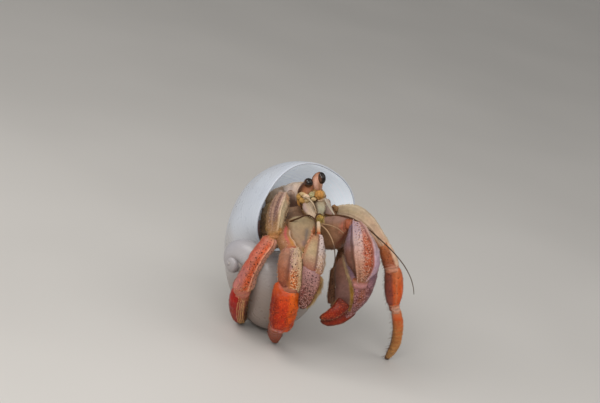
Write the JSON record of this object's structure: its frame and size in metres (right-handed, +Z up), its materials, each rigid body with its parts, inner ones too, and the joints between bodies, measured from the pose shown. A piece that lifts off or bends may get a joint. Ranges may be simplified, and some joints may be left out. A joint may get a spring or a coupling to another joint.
{
  "type": "hermit crab",
  "caption": "Small land hermit crab standing in a round white moon-snail shell, claws hanging in front, head raised between its legs.",
  "frame": {"origin": "bottom centre of the bounding box, on the floor that the leg tips and the shell's belly stand on", "axes": "+Z up, the crab looks towards -Y, +X is to the crab's left"},
  "size_m": [0.0332, 0.0306, 0.0294],
  "materials": {
    "shell": "smooth, faintly glossy lime shell, white with a blue cast",
    "tan": "tan chitin with a soft wet gloss",
    "mauve": "mauve brown chitin, soft gloss",
    "orange": "orange chitin with dark dots",
    "red": "red chitin with pale tubercles",
    "purple": "purple chitin with dark red dots",
    "brown": "brown chitin",
    "cream": "cream chitin",
    "gold": "golden hairy chitin",
    "eye": "polished black",
    "feeler": "dark ringed feeler"
  },
  "bodies": {
    "root": {"shell": "shell", "thorax": "mauve", "shield": "tan", "eyestalk_r": "brown", "eye_r": "eye", "eyestalk_l": "brown", "eye_l": "eye", "antennule_base_r": "gold", "antennule_base_l": "gold", "antennule_r": "cream", "antenna_r": "feeler", "antennule_l": "cream", "antenna_l": "feeler", "maxilliped_r": "cream", "maxilliped_l": "cream", "p3_r_merus": "mauve", "p3_r_carpus": "tan", "p3_r_propodus": "orange", "p3_r_dactyl": "red", "p2_r_merus": "cream", "p2_r_carpus": "tan", "p2_r_propodus": "red", "p2_r_dactyl": "brown", "claw_r_merus": "tan", "claw_r_carpus": "cream", "claw_r_palm": "purple", "claw_r_dactyl": "purple", "claw_l_merus": "mauve", "claw_l_carpus": "orange", "claw_l_palm": "purple", "claw_l_dactyl": "red", "p2_l_merus": "brown", "p2_l_carpus": "brown", "p2_l_propodus": "brown", "p2_l_dactyl": "brown", "p3_l_merus": "tan", "p3_l_carpus": "orange", "p3_l_propodus": "orange", "p3_l_dactyl": "orange", "p4_r": "cream", "p4_l": "cream", "abdomen": "mauve"}
  },
  "joints": []
}
